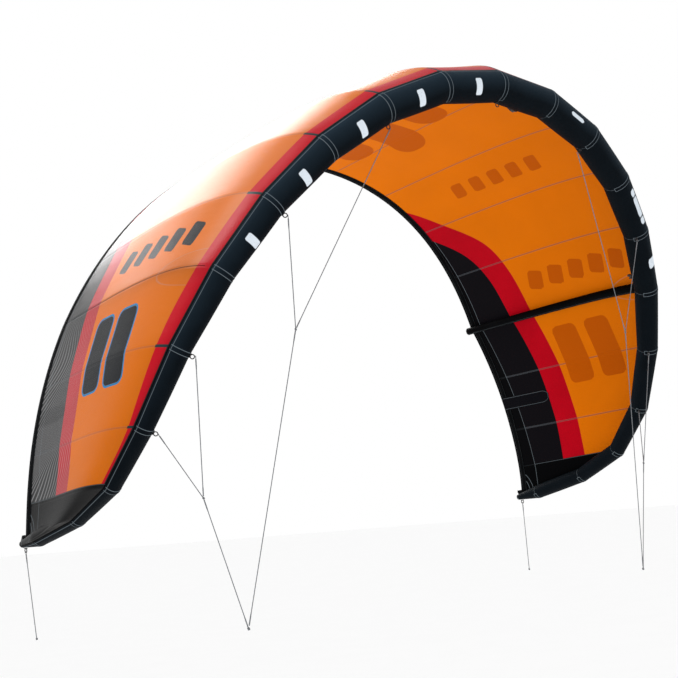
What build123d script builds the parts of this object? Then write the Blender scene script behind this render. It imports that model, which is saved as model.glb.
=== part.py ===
from build123d import *
from math import cos, pi, radians, sin
import os

# Inflatable kitesurfing kite, 9 square metres of cloth, shown inflated and held up by the middle
# of its leading edge.  Millimetres, +Z up, +X to the kite's right tip, the nose faces -Y and the
# canopy runs back to +Y.  The origin is on the axis of the leading edge tube, at the middle seam.

os.makedirs("parts", exist_ok=True)

# ---------------------------------------------------------------- driving dimensions
half_span = 1845.0            # middle seam to the tube's axis at the wing tip
arch_height = 2145.0          # drop from the middle seam to the wing tip
tip_sweep = 1856.0            # how far the wing tip lies behind the middle seam
root_chord = 1846.0           # tube axis to the trailing edge at the middle
trailing_drop = 79.0          # the trailing edge lies this much lower near the tips
scallop_inner = 70.0          # hollow of the trailing edge between two struts
scallop_outer = 42.0          # hollow outboard of the quarter struts
trailing_billow = 30.0        # the trailing edge bulges outward this much between two struts
tip_corner = Vector(1845, 1862, -2108)
tip_corner_rise = 8.0         # the trailing edge stays this much above the tip corner
sweep_shares = (0.54, 0.46)   # the sweep: an even part, and a part for the last short segments
sweep_powers = (2.1, 25)

root_tube = 165.0             # leading edge tube diameter at the middle
taper_share = 0.48            # the tube's radius shrinks by this share towards the tip
taper_power = 2.2
tip_tube_radius = 17.0
tip_closure = 4.0             # thickness of the tube's closed end
sleeve_wall = 2.0
bladder_gap = 1.5
bladder_wall = 2.0
bladder_end_gap = 20.0        # the bladder ends this far short of the tube's end

canopy_thickness = 3.0
canopy_gap = 0.8              # canopy cloth to the tube below it
join_angle = 110.0            # where the canopy meets the tube, from straight back over the top
camber_places = (0.13, 0.51)  # the wing section's two Bezier handles, as parts of its chord
front_camber = (0.11, -0.14, 0.17)  # height of the front handle: middle, and its change to the tip
rear_camber = (0.025, 0.17, -0.22)

strut_front_radius = 31.0
strut_rear_radius = 23.0
strut_gap = 2.5
strut_shares = (0.02, 0.12, 0.25, 0.4, 0.55, 0.7, 0.85, 1.0)  # sections of the strut, along the chord
strut_end = 14.0              # the strut's sleeve reaches this far behind the trailing edge
strut_bladder_end = 8.0
strut_bladder_gap = 3.0       # the strut's bladder to the leading edge tube
cap_gap = 0.5
cap_length = 9.0
cap_edge = 5.0                # rounding of a strut cap's end
band_width = 12.0
band_thickness = 4.0

line_radius = 2.2
front_knot_radius = 7.0
knot_radius = 6.0
eye_radius = 5.0
line_gap = 0.4
splice_gap = 9.0              # the second upper line ends this far from its junction
open_pivot_gap = 8.0          # free space where the closed bridle loop is opened

loop_ring_radius = 10.0
loop_wire_radius = 2.5
pad_length = 22.0
pad_width = 14.0
pad_corner = 4.0
pad_thickness = 3.0
pad_gap = 1.8                 # the tube's curve rises this much towards the flat pad
tip_pad_gap = 0.6

hose_radius = 7.0
hose_offset = 90.0            # the hose leaves the tube this far inboard of the strut
hose_gap = 1.2                # a hose's end to the sleeve beside it
hose_tilt = 8.0               # degrees inward of straight back
hose_tube_stub = 50.0
hose_strut_stub = 30.0
hose_bend = 22.0
hose_strut_share = 0.1        # where the hose enters the strut, along its chord

valve_seam_share = 0.55       # place of the inflation valve between the first two seams
valve_turn = -32.0            # degrees below straight back
valve_hole_radius = 23.0
valve_hole_depth = 20.0
collar_radius = 22.0
collar_bore = 16.0
collar_length = 24.0
collar_depth = 14.0           # how much of the collar lies inside the tube
flange_radius = 30.0
flange_thickness = 3.0
flange_gap = 0.8
insert_radius = 15.6
insert_bore = 11.0
insert_depth = 6.0
rim_radius = 20.0
rim_thickness = 3.0
rim_gap = 0.5                 # the insert's rim above the collar, and the cap above the rim
cap_radius = 19.0
cap_thickness = 4.0
plug_radius = 10.0
hinge_tab_width = 5.0
hinge_tab_end = 27.0          # the insert's hinge tab reaches this far from the valve's axis
cap_hinge = (-26.2, 0, 13.75)
flap_radius = 13.0
flap_thickness = 1.5
flap_gap = 0.5
flap_hinge = (-13.2, 0, -6.4)

clip_width = 20.0
clip_depth = 18.0
clip_length = 24.0
clip_corner = 3.0
clip_bore_gap = 0.4
clip_pin_place = (12, 0, -16)
clip_pin_radius = 1.5
clip_running_gap = 0.06
ear_size = (8, 3, 10)
ear_place = (11, 7.5, -15)
lever_barrel_radius = 3.5
lever_size = (3, 11, 36)
lever_place = (12, 0, 2)

# The tube's seams, as angles round the elliptical arch: 0 is the middle and 90 the wing tip.
seam_angles = (0, 11.9, 23.6, 34.9, 45.7, 56.3, 66.5, 76.1, 83.0, 86.8, 89.2, 90.0)
last_seam = len(seam_angles) - 1
quarter_strut_seam = 5
tip_panel_seam = 8

# Bridle attachments: seam number and the angle forward of straight inward, in degrees.
bridle_seams = {"tip": (7, 38), "outer": (6, 38), "inner": (4, 30), "root": (2, -10)}
outer_junction = Vector(1586, 559, -1977)
inner_junction = Vector(1193, 283, -1227)
front_line_point = Vector(1422, 505, -2589)
rear_line_top = Vector(1845, 1822, -2178)
rear_line_end = Vector(1825, 1796, -2626)


# ---------------------------------------------------------------- geometry of the arch
def spread(seam):
    return seam_angles[seam] / 90


def tube_centre(seam):
    if seam < 0:
        right = tube_centre(-seam)
        return Vector(-right.X, right.Y, right.Z)
    angle = radians(seam_angles[seam])
    shape = (share * spread(seam) ** power for share, power in zip(sweep_shares, sweep_powers))
    sweep = tip_sweep * sum(shape)
    return Vector(half_span * sin(angle), sweep, -arch_height * (1 - cos(angle)))


def outward(seam):
    if seam < 0:
        right = outward(-seam)
        return Vector(-right.X, right.Y, right.Z)
    angle = radians(seam_angles[seam])
    return Vector(arch_height * sin(angle), 0, half_span * cos(angle)).normalized()


def tube_radius(seam):
    if abs(seam) == last_seam:
        return tip_tube_radius
    return 0.5 * root_tube * (1 - taper_share * spread(abs(seam)) ** taper_power)


def along(seam):
    before = tube_centre(max(seam, 1 - last_seam)) - tube_centre(max(seam, 1 - last_seam) - 1)
    after = tube_centre(min(seam, last_seam - 1) + 1) - tube_centre(min(seam, last_seam - 1))
    return (before.normalized() + after.normalized()).normalized()


def rearward(seam):
    return outward(seam).cross(along(seam)).normalized()


def seam_plane(seam, shift=0.0):
    origin = tube_centre(seam) + along(seam) * shift
    return Plane(origin=origin, x_dir=rearward(seam), z_dir=along(seam))


def on_tube(seam, angle, extra=0.0):
    angle = radians(angle)
    direction = rearward(seam) * cos(angle) + outward(seam) * sin(angle)
    return tube_centre(seam) + direction * (tube_radius(seam) + extra)


def trailing_point(seam):
    if seam == last_seam:
        return tip_corner
    centre = tube_centre(seam)
    billow = Vector(0, 0, 0)
    if seam <= quarter_strut_seam:
        wave = sin(pi * seam / quarter_strut_seam)
        hollow = scallop_inner * wave
        billow = outward(seam) * (trailing_billow * wave)
    else:
        hollow = scallop_outer * sin(pi * (seam - quarter_strut_seam) / (last_seam - quarter_strut_seam))
    height = max(centre.Z - trailing_drop * spread(seam), tip_corner.Z + tip_corner_rise)
    return Vector(centre.X, root_chord - hollow, height) + billow


def wing_section(seam):
    start = on_tube(seam, join_angle, canopy_gap)
    chord = trailing_point(seam) - start
    plane = Plane(origin=start, x_dir=chord.normalized(), z_dir=chord.cross(outward(seam)).normalized())
    return plane, chord.length


def camber_points(seam):
    length = wing_section(seam)[1]
    way = min(seam, tip_panel_seam) / tip_panel_seam
    front_height, rear_height = (
        middle + slope * way + curve * way**2 for middle, slope, curve in (front_camber, rear_camber)
    )
    front = Vector(camber_places[0] * length, front_height * length)
    rear = Vector(camber_places[1] * length, rear_height * length)
    return Vector(0, 0), front, rear, Vector(length, 0)


def camber_at(seam, share):
    first, second, third, fourth = camber_points(seam)
    rest = 1 - share
    point = first * rest**3 + second * (3 * rest**2 * share) + third * (3 * rest * share**2)
    point = point + fourth * share**3
    slope = (second - first) * rest**2 + (third - second) * (2 * rest * share) + (fourth - third) * share**2
    return point, slope.normalized()


def save(part, name):
    part.label = name
    export_step(part, f"parts/{name}.step")


def save_pair(part, name):
    save(part, f"{name}_right")
    with BuildPart() as twin:
        mirror(part, about=Plane.YZ)
    save(twin.part, f"{name}_left")


# ---------------------------------------------------------------- place of the inflation valve
def valve_plane():
    middle = tube_centre(0) * (1 - valve_seam_share) + tube_centre(1) * valve_seam_share
    run = (tube_centre(1) - tube_centre(0)).normalized()
    over = Vector(0, 0, 1) - run * run.Z
    back = over.normalized().cross(run)
    out = back * cos(radians(valve_turn)) + over.normalized() * sin(radians(valve_turn))
    radius = 0.5 * (tube_radius(0) + tube_radius(1))
    return Plane(origin=middle + out * radius, x_dir=run, z_dir=out)


valve = valve_plane()


def valve_hole():
    with BuildPart() as hole:
        with BuildSketch(valve.offset(-valve_hole_depth)):
            Circle(valve_hole_radius)
        extrude(amount=2 * valve_hole_depth)
    return hole.part


# ---------------------------------------------------------------- leading edge tube
def sleeve_piece(first, last):
    with BuildPart() as piece:
        for seam in range(first, last + 1):
            with BuildSketch(seam_plane(seam)):
                Circle(tube_radius(seam))
        loft(ruled=True)
        for seam in range(first, last + 1):
            shift = -tip_closure if seam == last_seam else 0.0
            with BuildSketch(seam_plane(seam, shift)):
                Circle(tube_radius(seam) - sleeve_wall)
        loft(ruled=True, mode=Mode.SUBTRACT)
    return piece.part


save_pair(sleeve_piece(quarter_strut_seam, last_seam), "leading_edge_sleeve_outer")

with BuildPart() as sleeve_right:
    add(sleeve_piece(0, quarter_strut_seam))
    add(valve_hole(), mode=Mode.SUBTRACT)
save(sleeve_right.part, "leading_edge_sleeve_inner_right")

with BuildPart() as sleeve_left:
    mirror(sleeve_piece(0, quarter_strut_seam), about=Plane.YZ)
save(sleeve_left.part, "leading_edge_sleeve_inner_left")

with BuildPart() as bladder:
    for skin, mode in ((0.0, Mode.ADD), (bladder_wall, Mode.SUBTRACT)):
        inset = sleeve_wall + bladder_gap + skin
        for seam in range(-last_seam, last_seam + 1):
            shift = 0.0
            if abs(seam) == last_seam:
                shift = -(bladder_end_gap + 2 * skin) * seam / last_seam
            with BuildSketch(seam_plane(seam, shift)):
                Circle(tube_radius(seam) - inset)
        loft(ruled=True, mode=mode)
    add(valve_hole(), mode=Mode.SUBTRACT)
save(bladder.part, "leading_edge_bladder")


# ---------------------------------------------------------------- canopy
def tube_envelope(first, last, extra):
    with BuildPart() as envelope:
        for seam in range(first, last + 1):
            with BuildSketch(seam_plane(seam)):
                Circle(tube_radius(seam) + extra)
        loft(ruled=True)
    return envelope.part


def canopy_panel(first, last):
    with BuildPart() as panel:
        for seam in range(first, last + 1):
            thick = Vector(0, canopy_thickness)
            start, front, rear, end = camber_points(seam)
            with BuildSketch(wing_section(seam)[0]):
                with BuildLine():
                    Bezier(start, front, rear, end)
                    Line(end, end + thick)
                    Bezier(end + thick, rear + thick, front + thick, start + thick)
                    Line(start + thick, start)
                make_face()
        loft(ruled=True)
        if last == last_seam:
            add(tube_envelope(first, last, canopy_gap), mode=Mode.SUBTRACT)
    return panel.part


for seam in range(tip_panel_seam):
    save_pair(canopy_panel(seam, seam + 1), f"canopy_panel_{seam + 1}")
save_pair(canopy_panel(tip_panel_seam, last_seam), "canopy_tip_panel")

with BuildPart() as band:
    for seam in range(last_seam):
        plane, length = wing_section(seam)
        with BuildSketch(plane):
            with Locations((length + 0.5 * band_width, 0.5 * canopy_thickness)):
                Rectangle(band_width, band_thickness)
    loft(ruled=True)
    mirror(about=Plane.YZ)
save(band.part, "trailing_edge_band")


# ---------------------------------------------------------------- struts
def strut_radius(share):
    return strut_front_radius + (strut_rear_radius - strut_front_radius) * share


def strut_plane(seam, share, shift=0.0):
    plane = wing_section(seam)[0]
    point, slope = camber_at(seam, share)
    inward = Vector(slope.Y, -slope.X)
    centre = point + inward * (strut_radius(share) + strut_gap) + slope * shift
    ahead = (plane.from_local_coords(point + slope) - plane.from_local_coords(point)).normalized()
    return Plane(origin=plane.from_local_coords(centre), x_dir=plane.z_dir, z_dir=ahead)


def strut_form(seam, inset, end_shift):
    with BuildPart() as form:
        for share in strut_shares:
            shift = end_shift if share == 1.0 else 0.0
            with BuildSketch(strut_plane(seam, share, shift)):
                Circle(strut_radius(share) - inset)
        loft()
    return form.part


def strut_tube(seam, inset, wall, end_shift, tube_gap):
    with BuildPart() as tube:
        add(strut_form(seam, inset, end_shift))
        add(strut_form(seam, inset + wall, end_shift - wall), mode=Mode.SUBTRACT)
        add(tube_envelope(seam - 1, seam + 1, tube_gap), mode=Mode.SUBTRACT)
    return tube.part


def strut_sleeve(seam):
    return strut_tube(seam, 0.0, sleeve_wall, strut_end, canopy_gap)


def strut_bladder(seam):
    inset = sleeve_wall + bladder_gap
    return strut_tube(seam, inset, bladder_wall, strut_bladder_end, strut_bladder_gap)


save_pair(strut_sleeve(quarter_strut_seam), "strut_sleeve")
save(strut_sleeve(0), "strut_sleeve_centre")

with BuildPart() as strut_bladders:
    add(strut_bladder(quarter_strut_seam))
    mirror(about=Plane.YZ)
    add(strut_bladder(0))
save(strut_bladders.part, "strut_bladders")


def strut_end_cap(seam):
    base = strut_plane(seam, 1.0, strut_end + cap_gap)
    with BuildPart() as cap:
        with BuildSketch(base):
            Circle(strut_rear_radius + cap_gap)
        extrude(amount=cap_length)
        fillet(cap.faces().sort_by(Axis(base.origin, base.z_dir))[-1].edges(), cap_edge)
    return cap.part


with BuildPart() as strut_end_caps:
    add(strut_end_cap(quarter_strut_seam))
    mirror(about=Plane.YZ)
    add(strut_end_cap(0))
save(strut_end_caps.part, "strut_end_caps")


# ---------------------------------------------------------------- webbing loops
loop_height = pad_gap + 2 * (loop_ring_radius + loop_wire_radius)


def bridle_direction(place):
    seam, forward = bridle_seams[place]
    turn = radians(forward)
    return (outward(seam) * -cos(turn) - rearward(seam) * sin(turn)).normalized()


def bridle_end(place):
    seam, forward = bridle_seams[place]
    reach = tube_radius(seam) + loop_height + line_gap + eye_radius
    return tube_centre(seam) + bridle_direction(place) * reach


def webbing_loop(foot, direction, run):
    """A sewn pad on the tube and the loop that stands on it, in the plane of direction and run."""
    across = direction.cross(run).normalized()
    pad_plane = Plane(origin=foot + direction * pad_gap, x_dir=across, z_dir=direction)
    ring_centre = foot + direction * (pad_gap + loop_ring_radius + loop_wire_radius)
    ring_plane = Plane(origin=ring_centre, x_dir=direction, z_dir=across)
    with BuildPart() as loop:
        with BuildSketch(pad_plane):
            RectangleRounded(pad_width, pad_length, pad_corner)
        extrude(amount=pad_thickness)
        with Locations(ring_plane):
            Torus(loop_ring_radius, loop_wire_radius)
    return loop.part


with BuildPart() as bridle_loops:
    for place, (seam, forward) in bridle_seams.items():
        direction = bridle_direction(place)
        add(webbing_loop(tube_centre(seam) + direction * tube_radius(seam), direction, along(seam)))
save_pair(bridle_loops.part, "bridle_loops")

tip_share = (rear_line_top.Y - tube_centre(10).Y) / (tube_centre(11).Y - tube_centre(10).Y)
tip_axis = tube_centre(10) * (1 - tip_share) + tube_centre(11) * tip_share
tip_radius = tube_radius(10) * (1 - tip_share) + tube_radius(11) * tip_share
down = Vector(0, 0, -1)
tip_foot = tip_axis + down * (tip_radius + tip_pad_gap)
rear_hinge = tip_foot + down * (loop_height + line_gap + eye_radius)
save_pair(webbing_loop(tip_foot, down, Vector(0, 1, 0)), "rear_line_loop")

leash_foot = tube_centre(0) + down * tube_radius(0)
save(webbing_loop(leash_foot, down, Vector(1, 0, 0)), "pump_leash_loop")


# ---------------------------------------------------------------- bridle lines
def line_part(start, end, start_gap, end_gap, ball_at_start=0.0, ball_at_end=0.0):
    """A taut line: a straight tube, with a ball where its eye splice or knot is."""
    run = (end - start).normalized()
    first = start + run * start_gap
    length = (end - start).length - start_gap - end_gap
    with BuildPart() as line:
        with BuildSketch(Plane(origin=first, z_dir=run)):
            Circle(line_radius)
        extrude(amount=length)
        if ball_at_start:
            with Locations(Plane(origin=start, z_dir=run)):
                Sphere(ball_at_start)
        if ball_at_end:
            with Locations(Plane(origin=end, z_dir=run)):
                Sphere(ball_at_end)
    print(f"line {length:.0f} mm long")
    return line.part


tip_end = bridle_end("tip")
outer_end = bridle_end("outer")
inner_end = bridle_end("inner")
root_end = bridle_end("root")
past_knot = knot_radius + line_gap

save_pair(line_part(tip_end, outer_junction, 0, 0, eye_radius, knot_radius), "bridle_line_tip")
save_pair(line_part(outer_end, outer_junction, 0, splice_gap, eye_radius), "bridle_line_outer")
save_pair(line_part(inner_end, inner_junction, 0, 0, eye_radius, knot_radius), "bridle_line_inner")
save_pair(line_part(root_end, inner_junction, 0, splice_gap, eye_radius), "bridle_line_root")
save_pair(line_part(outer_junction, front_line_point, past_knot, 0, 0, front_knot_radius),
          "bridle_line_lower_outer")
save_pair(line_part(inner_junction, front_line_point, past_knot, front_knot_radius + open_pivot_gap),
          "bridle_line_lower_inner")
save_pair(line_part(rear_hinge, rear_line_end, 0, 0, eye_radius, knot_radius), "rear_pigtail")


# ---------------------------------------------------------------- inflation valve
collar_top = collar_length - collar_depth
rim_base = collar_top + rim_gap
cap_base = rim_base + rim_thickness + rim_gap
hinge_tab = hinge_tab_end - rim_radius + 1

with BuildPart() as valve_base:
    with BuildSketch(valve.offset(-collar_depth)):
        Circle(collar_radius)
    extrude(amount=collar_length)
    with BuildSketch(valve.offset(flange_gap)):
        Circle(flange_radius)
    extrude(amount=flange_thickness)
    with BuildSketch(valve.offset(-collar_depth)):
        Circle(collar_bore)
    extrude(amount=collar_length, mode=Mode.SUBTRACT)
save(valve_base.part, "valve_base")

with BuildPart() as valve_insert:
    with BuildSketch(valve.offset(-insert_depth)):
        Circle(insert_radius)
    extrude(amount=insert_depth + rim_base)
    with BuildSketch(valve.offset(rim_base)):
        Circle(rim_radius)
        with Locations((0.5 * hinge_tab - hinge_tab_end, 0)):
            Rectangle(hinge_tab, hinge_tab_width)
    extrude(amount=rim_thickness)
    with BuildSketch(valve.offset(-insert_depth)):
        Circle(insert_bore)
    extrude(amount=insert_depth + cap_base, mode=Mode.SUBTRACT)
save(valve_insert.part, "valve_insert")

with BuildPart() as valve_flap:
    with BuildSketch(valve.offset(-insert_depth - flap_gap - flap_thickness)):
        Circle(flap_radius)
    extrude(amount=flap_thickness)
save(valve_flap.part, "valve_flap")

with BuildPart() as valve_cap:
    with BuildSketch(valve.offset(cap_base)):
        Circle(cap_radius)
        with Locations((0.5 * plug_radius + 1 - hinge_tab_end, 0)):
            Rectangle(plug_radius, hinge_tab_width)
    extrude(amount=cap_thickness)
    with BuildSketch(valve.offset(cap_base - rim_thickness)):
        Circle(plug_radius)
    extrude(amount=rim_thickness)
save(valve_cap.part, "valve_cap")


# ---------------------------------------------------------------- hoses from tube to struts
def hose_points(seam):
    """Leaves the tube beside the strut, turns back and enters the strut's inboard side."""
    segment = tube_centre(seam - 1) - tube_centre(seam)
    share = hose_offset / segment.length
    middle = tube_centre(seam) + segment * share
    radius = tube_radius(seam) * (1 - share) + tube_radius(seam - 1) * share
    back = outward(seam).cross(segment.normalized() * -1)
    back = (back * cos(radians(hose_tilt)) - outward(seam) * sin(radians(hose_tilt))).normalized()
    root = middle + back * (radius + hose_gap)
    berth = strut_plane(seam, hose_strut_share)
    inboard = berth.x_dir * -1
    side = berth.origin + inboard * (strut_radius(hose_strut_share) + hose_gap)
    return root, root + back * hose_tube_stub, side + inboard * hose_strut_stub, side


def hose(seam):
    points = hose_points(seam)
    with BuildPart() as tube:
        with BuildLine():
            path = FilletPolyline(*points, radius=hose_bend)
        with BuildSketch(Plane(origin=points[0], z_dir=path % 0)):
            Circle(hose_radius)
        sweep(path=path)
    return tube.part


with BuildPart() as hoses:
    add(hose(quarter_strut_seam))
    mirror(about=Plane.YZ)
    add(hose(0))
save(hoses.part, "one_pump_hoses")


# ---------------------------------------------------------------- pinch clips on the hoses
def clip_plane(seam):
    points = hose_points(seam)
    middle = (points[1] + points[2]) * 0.5
    run = (points[2] - points[1]).normalized()
    inward = outward(seam) * -1
    if abs(run.dot(inward)) > 0.8:
        inward = rearward(seam)
    across = (inward - run * inward.dot(run)).normalized()
    return Plane(origin=middle, x_dir=across, z_dir=run)


def pin_plane(clip):
    return Plane(origin=clip.from_local_coords(clip_pin_place), z_dir=clip.y_dir)


def clip_base(clip):
    with BuildPart() as base:
        with BuildSketch(clip.offset(-0.5 * clip_length)):
            RectangleRounded(clip_width, clip_depth, clip_corner)
        extrude(amount=clip_length)
        with Locations(clip):
            with Locations(ear_place, (ear_place[0], -ear_place[1], ear_place[2])):
                Box(*ear_size)
        with Locations(pin_plane(clip)):
            Cylinder(clip_pin_radius, clip_depth)
        with BuildSketch(clip.offset(-clip_length)):
            Circle(hose_radius + clip_bore_gap)
        extrude(amount=2 * clip_length, mode=Mode.SUBTRACT)
    return base.part


def clip_lever(clip):
    with BuildPart() as lever:
        with Locations(pin_plane(clip)):
            Cylinder(lever_barrel_radius, lever_size[1])
        with Locations(clip):
            with Locations(lever_place):
                Box(*lever_size)
        with Locations(pin_plane(clip)):
            Cylinder(clip_pin_radius + clip_running_gap, clip_depth, mode=Mode.SUBTRACT)
    return lever.part


quarter_clip = clip_plane(quarter_strut_seam)
centre_clip = clip_plane(0)
save_pair(clip_base(quarter_clip), "hose_clip_base")
save(clip_base(centre_clip), "hose_clip_base_centre")
save_pair(clip_lever(quarter_clip), "hose_clip_lever")
save(clip_lever(centre_clip), "hose_clip_lever_centre")


# ---------------------------------------------------------------- hinge lines, for the record
def tell_hinge(name, point, axis):
    place = ", ".join(f"{value:.2f}" for value in point)
    direction = ", ".join(f"{value:.5f}" for value in axis.normalized())
    print(f"hinge {name}: ({place}) ({direction})")


tell_hinge("upper_outer", tip_end, tip_end - outer_end)
tell_hinge("upper_inner", inner_end, inner_end - root_end)
tell_hinge("lower_outer", outer_junction, (tip_end - outer_junction).cross(outer_end - outer_junction))
tell_hinge("lower_inner", inner_junction, (inner_end - inner_junction).cross(root_end - inner_junction))
tell_hinge("front_line_point", front_line_point, Vector(1, 0, 0))
tell_hinge("rear_pigtail", rear_hinge, Vector(1, 0, 0))
tell_hinge("valve_cap", valve.from_local_coords(cap_hinge), valve.y_dir * -1)
tell_hinge("valve_flap", valve.from_local_coords(flap_hinge), valve.y_dir)
tell_hinge("clip_right", pin_plane(quarter_clip).origin, quarter_clip.y_dir)
tell_hinge("clip_centre", pin_plane(centre_clip).origin, centre_clip.y_dir)
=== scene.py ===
"""The looks of an inflatable kitesurfing kite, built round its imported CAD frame.

Metres, the row's frame: +X to the right wing tip, +Y back to the trailing edge, +Z up.  A place
on the kite is told by its seam number, 0 at the middle and 11 at a wing tip, negative on the
left wing, and by its share of the wing section, 0 at the tube and 1 at the trailing edge.
"""

import bpy
import numpy as np
from mathutils import Matrix, Vector


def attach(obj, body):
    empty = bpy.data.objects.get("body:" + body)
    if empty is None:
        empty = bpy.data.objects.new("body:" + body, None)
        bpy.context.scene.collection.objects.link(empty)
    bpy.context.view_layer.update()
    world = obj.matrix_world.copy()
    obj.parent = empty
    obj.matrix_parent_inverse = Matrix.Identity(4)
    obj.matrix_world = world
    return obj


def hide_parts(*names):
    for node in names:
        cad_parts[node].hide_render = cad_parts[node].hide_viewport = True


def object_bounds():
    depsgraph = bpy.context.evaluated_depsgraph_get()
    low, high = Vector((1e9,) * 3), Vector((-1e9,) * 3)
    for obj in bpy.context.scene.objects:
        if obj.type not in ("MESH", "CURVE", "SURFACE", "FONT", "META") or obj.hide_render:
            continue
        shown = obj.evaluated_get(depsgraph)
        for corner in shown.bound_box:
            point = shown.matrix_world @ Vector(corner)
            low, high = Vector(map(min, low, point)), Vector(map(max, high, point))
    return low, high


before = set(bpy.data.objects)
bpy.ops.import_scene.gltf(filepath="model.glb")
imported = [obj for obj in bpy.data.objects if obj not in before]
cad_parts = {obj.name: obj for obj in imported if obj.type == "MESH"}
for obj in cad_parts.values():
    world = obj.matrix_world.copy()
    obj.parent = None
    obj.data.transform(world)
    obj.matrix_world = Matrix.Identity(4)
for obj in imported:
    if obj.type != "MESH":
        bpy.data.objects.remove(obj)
cad_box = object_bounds()

# ---- driving dimensions, as in the frame
HALF_SPAN = 1.845
ARCH_HEIGHT = 2.145
TIP_SWEEP = 1.856
ROOT_CHORD = 1.846
TRAILING_DROP = 0.079
SCALLOP_INNER = 0.070
SCALLOP_OUTER = 0.042
TRAILING_BILLOW = 0.030
TIP_CORNER = np.array([1.845, 1.862, -2.108])
ROOT_RADIUS = 0.0825
TIP_RADIUS = 0.017
CANOPY_GAP = 0.0012
JOIN_ANGLE = 110.0
SWEEP_SHARES = (0.54, 0.46)
SWEEP_POWERS = (2.1, 25)
TAPER = 0.48
TAPER_POWER = 2.2
TIP_CLEARANCE = 0.008
CAMBER_PLACES = (0.13, 0.51)
FRONT_CAMBER = (0.11, -0.14, 0.17)
REAR_CAMBER = (0.025, 0.17, -0.22)
STRUT_FRONT_RADIUS = 0.031
STRUT_REAR_RADIUS = 0.023
STRUT_GAP = 0.0025
STRUT_OVERHANG = 0.014
LINE_DIAMETER = 0.0044

SEAM_ANGLES = (0, 11.9, 23.6, 34.9, 45.7, 56.3, 66.5, 76.1, 83.0, 86.8, 89.2, 90.0)
LAST_SEAM = len(SEAM_ANGLES) - 1
STRUT_SEAM = 5
TIP_PANEL_SEAM = 8

MIRROR = np.array([-1.0, 1.0, 1.0])


# ---- geometry of the kite
def unit(vectors):
    vectors = np.asarray(vectors, float)
    return vectors / np.linalg.norm(vectors, axis=-1, keepdims=True)


def angle_at(seam):
    return np.interp(seam, range(LAST_SEAM + 1), SEAM_ANGLES)


def tube_centre(seam):
    """The tube's axis on the right wing, on the smooth arch that its kinks lie on."""
    angle = np.radians(angle_at(seam))
    spread = angle_at(seam) / 90
    sweep = TIP_SWEEP * sum(part * spread**power for part, power in zip(SWEEP_SHARES, SWEEP_POWERS))
    return np.stack([HALF_SPAN * np.sin(angle), sweep, -ARCH_HEIGHT * (1 - np.cos(angle))], -1)


def outward(seam):
    angle = np.radians(angle_at(seam))
    flat = np.zeros_like(angle)
    return unit(np.stack([ARCH_HEIGHT * np.sin(angle), flat, HALF_SPAN * np.cos(angle)], -1))


RIGHT_SEAMS = np.arange(LAST_SEAM + 1)
RIGHT_CENTRES = tube_centre(RIGHT_SEAMS)
CENTRES = np.concatenate([RIGHT_CENTRES[:0:-1] * MIRROR, RIGHT_CENTRES])
SEAMS = np.arange(-LAST_SEAM, LAST_SEAM + 1)
RUNS = unit(np.diff(CENTRES, axis=0))
ALONG = unit(np.concatenate([RUNS[:1], RUNS[:-1] + RUNS[1:], RUNS[-1:]]))
OUTWARD = outward(abs(SEAMS)) * np.where(SEAMS[:, None] < 0, MIRROR, 1.0)
REARWARD = unit(np.cross(OUTWARD, ALONG))
UPWARD = unit(np.cross(ALONG, REARWARD))
RADII = ROOT_RADIUS * (1 - TAPER * (angle_at(abs(SEAMS)) / 90) ** TAPER_POWER)
RADII[[0, -1]] = TIP_RADIUS


def seam_index(seam):
    return int(seam) + LAST_SEAM


def between_seams(values, seam):
    """Straight lines between the values at whole seams, on the right wing."""
    right = values[LAST_SEAM:]
    low = np.minimum(np.asarray(seam, float).astype(int), LAST_SEAM - 1)
    share = (np.asarray(seam, float) - low)[..., None]
    return right[low] * (1 - share) + right[low + 1] * share


JOIN_LINE = CENTRES + (RADII + CANOPY_GAP)[:, None] * (
    REARWARD * np.cos(np.radians(JOIN_ANGLE)) + OUTWARD * np.sin(np.radians(JOIN_ANGLE))
)


def trailing_point(seam):
    seam = np.asarray(seam, float)
    centre = tube_centre(seam)
    wave = np.where(seam <= STRUT_SEAM, np.sin(np.pi * seam / STRUT_SEAM), 0)
    outer_wave = np.sin(np.pi * (seam - STRUT_SEAM) / (LAST_SEAM - STRUT_SEAM))
    hollow = np.where(seam <= STRUT_SEAM, SCALLOP_INNER * wave, SCALLOP_OUTER * outer_wave)
    height = np.maximum(centre[..., 2] - TRAILING_DROP * angle_at(seam) / 90, TIP_CORNER[2] + TIP_CLEARANCE)
    point = np.stack([centre[..., 0], ROOT_CHORD - hollow, height], -1)
    point = point + outward(seam) * (TRAILING_BILLOW * wave)[..., None]
    last = np.clip(seam - (LAST_SEAM - 1), 0, 1)[..., None]
    return point * (1 - last) + TIP_CORNER * last


def section(seam):
    """The four Bezier points of the wing section at each seam number of the right wing."""
    seam = np.asarray(seam, float)
    start = between_seams(JOIN_LINE, seam)
    end = trailing_point(seam)
    chord = end - start
    side = unit(np.cross(chord, outward(seam)))
    upward = np.cross(side, unit(chord))
    length = np.linalg.norm(chord, axis=-1)[..., None]
    way = np.minimum(seam, TIP_PANEL_SEAM)[..., None] / TIP_PANEL_SEAM
    inner = []
    for place, (middle, slope, curve) in zip(CAMBER_PLACES, (FRONT_CAMBER, REAR_CAMBER)):
        height = middle + slope * way + curve * way**2
        inner.append(start + place * chord + height * length * upward)
    return start, *inner, end


def bezier(points, share):
    first, second, third, fourth = points
    rest = 1 - share
    inner = second * (3 * rest**2 * share) + third * (3 * rest * share**2)
    return first * rest**3 + inner + fourth * share**3


def wing_points(seam, share):
    """Points of the canopy on a grid of seam numbers and shares."""
    return bezier([point[:, None, :] for point in section(seam)], np.asarray(share, float)[None, :, None])


def full_turn(count):
    return np.linspace(0, 2 * np.pi, count, endpoint=False)


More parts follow.
